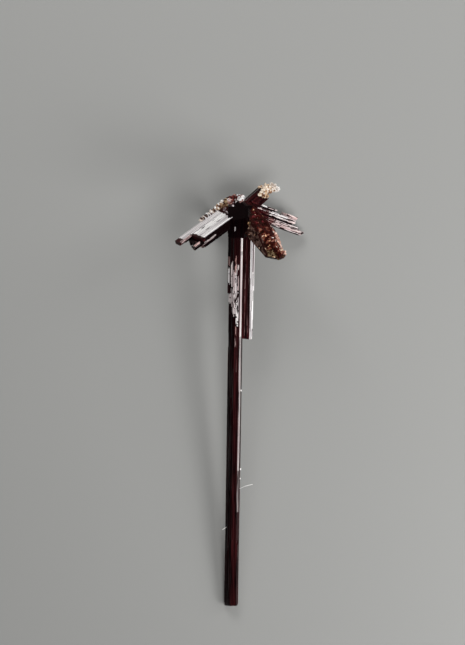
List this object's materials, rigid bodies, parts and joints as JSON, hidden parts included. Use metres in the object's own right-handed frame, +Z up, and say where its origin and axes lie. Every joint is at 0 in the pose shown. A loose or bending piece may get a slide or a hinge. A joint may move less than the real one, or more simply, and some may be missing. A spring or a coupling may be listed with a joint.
{
  "type": "rutile starburst crystal",
  "caption": "Long thin rutile prism lying on its side, its head twinned into a star of striated blade arms, with pale matrix grains and a rusty crust on it.",
  "frame": {"origin": "under the middle of the crystal, on the surface that it lies on", "axes": "+Y runs along the stem from its foot to the twinned head, +Z is up from the surface"},
  "size_m": [0.0096, 0.0338, 0.0077],
  "materials": {
    "rutile": "adamantine, striated along each prism",
    "pale_matrix": "granular, dull to glassy",
    "cream_matrix": "sugary, granular",
    "rusty_crust": "rough, sparkling"
  },
  "bodies": {
    "root": {"rutile_twin": "rutile", "crest_grains": "pale_matrix", "tip_grains": "cream_matrix", "fracture_crust": "rusty_crust"}
  },
  "joints": []
}
